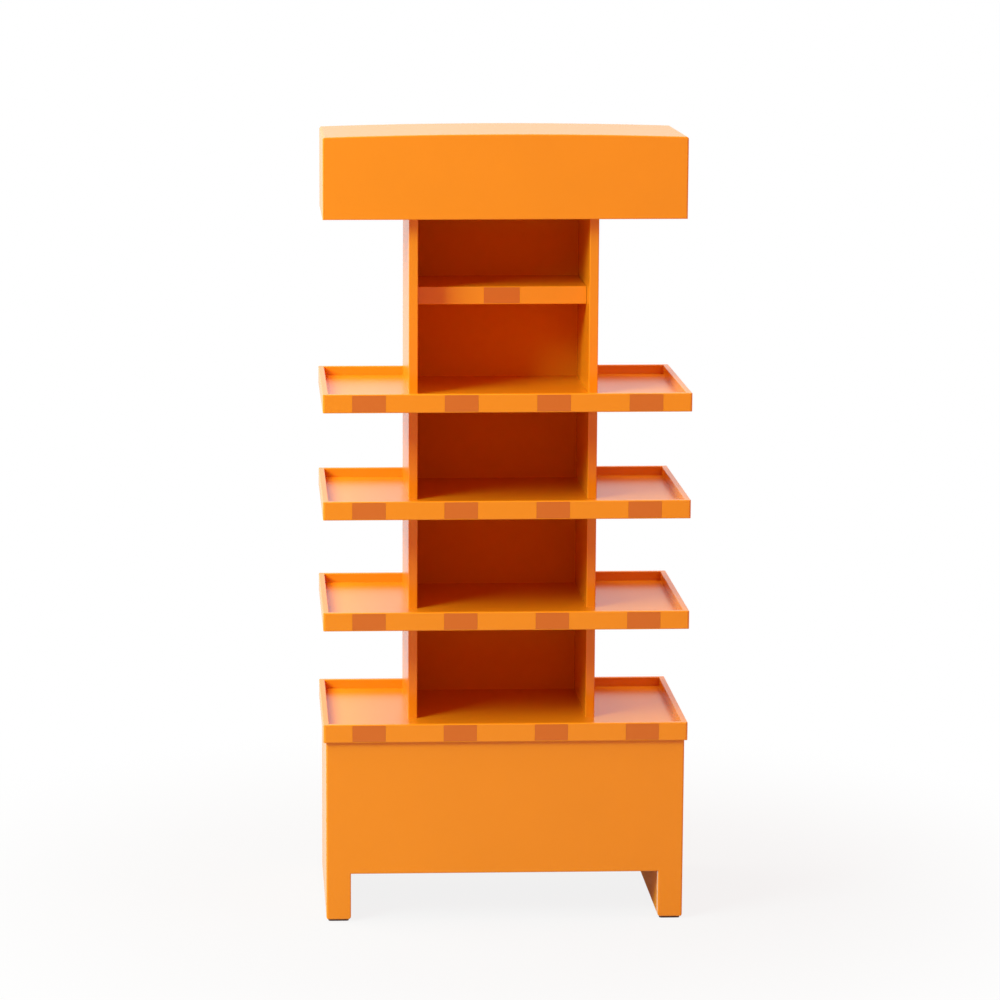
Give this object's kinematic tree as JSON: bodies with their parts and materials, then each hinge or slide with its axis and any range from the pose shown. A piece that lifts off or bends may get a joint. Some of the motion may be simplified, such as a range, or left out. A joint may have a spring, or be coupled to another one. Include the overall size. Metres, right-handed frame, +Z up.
{
  "type": "display rack",
  "caption": "Floor display rack: wide lipped trays set on a narrow open-fronted column, with a boxed arched header on top and a footed base cabinet below.",
  "frame": {"origin": "centre of the trays' footprint, on the ground under the foot pads", "axes": "+Z up, +Y towards the closed back, +X to the right as seen from the open front"},
  "size_m": [0.75, 0.44, 1.6199],
  "materials": {
    "lacquer": "satin orange lacquer on MDF board",
    "label": "matt blank label plate, terracotta",
    "pad": "matt dark foot pad",
    "dowel": "raw beech",
    "pin": "drawn steel"
  },
  "bodies": {
    "root": {"header_front": "lacquer", "header_back": "lacquer", "header_left_end": "lacquer", "header_right_end": "lacquer", "header_bottom": "lacquer", "header_ribs": "lacquer", "header_top": "lacquer", "upper_shelf": "lacquer", "shelf_nosing": "lacquer", "stage_1_left_side": "lacquer", "stage_1_right_side": "lacquer", "stage_1_back": "lacquer", "stage_2_left_side": "lacquer", "stage_2_right_side": "lacquer", "stage_2_back": "lacquer", "stage_3_left_side": "lacquer", "stage_3_right_side": "lacquer", "stage_3_back": "lacquer", "stage_4_left_side": "lacquer", "stage_4_right_side": "lacquer", "stage_4_back": "lacquer", "tray_1_floor": "lacquer", "tray_1_front_lip": "lacquer", "tray_1_back_lip": "lacquer", "tray_1_left_lip": "lacquer", "tray_1_right_lip": "lacquer", "tray_2_floor": "lacquer", "tray_2_front_lip": "lacquer", "tray_2_back_lip": "lacquer", "tray_2_left_lip": "lacquer", "tray_2_right_lip": "lacquer", "tray_3_floor": "lacquer", "tray_3_front_lip": "lacquer", "tray_3_back_lip": "lacquer", "tray_3_left_lip": "lacquer", "tray_3_right_lip": "lacquer", "tray_4_floor": "lacquer", "tray_4_front_lip": "lacquer", "tray_4_back_lip": "lacquer", "tray_4_left_lip": "lacquer", "tray_4_right_lip": "lacquer", "base_front": "lacquer", "base_back": "lacquer", "base_left_side": "lacquer", "base_right_side": "lacquer", "base_bottom": "lacquer", "base_bearers": "lacquer", "foot_rails": "lacquer", "tray_1_labels": "label", "tray_2_labels": "label", "tray_3_labels": "label", "tray_4_labels": "label", "shelf_label": "label", "foot_pads": "pad", "stage_dowels": "dowel", "shelf_pins": "pin"}
  },
  "joints": []
}
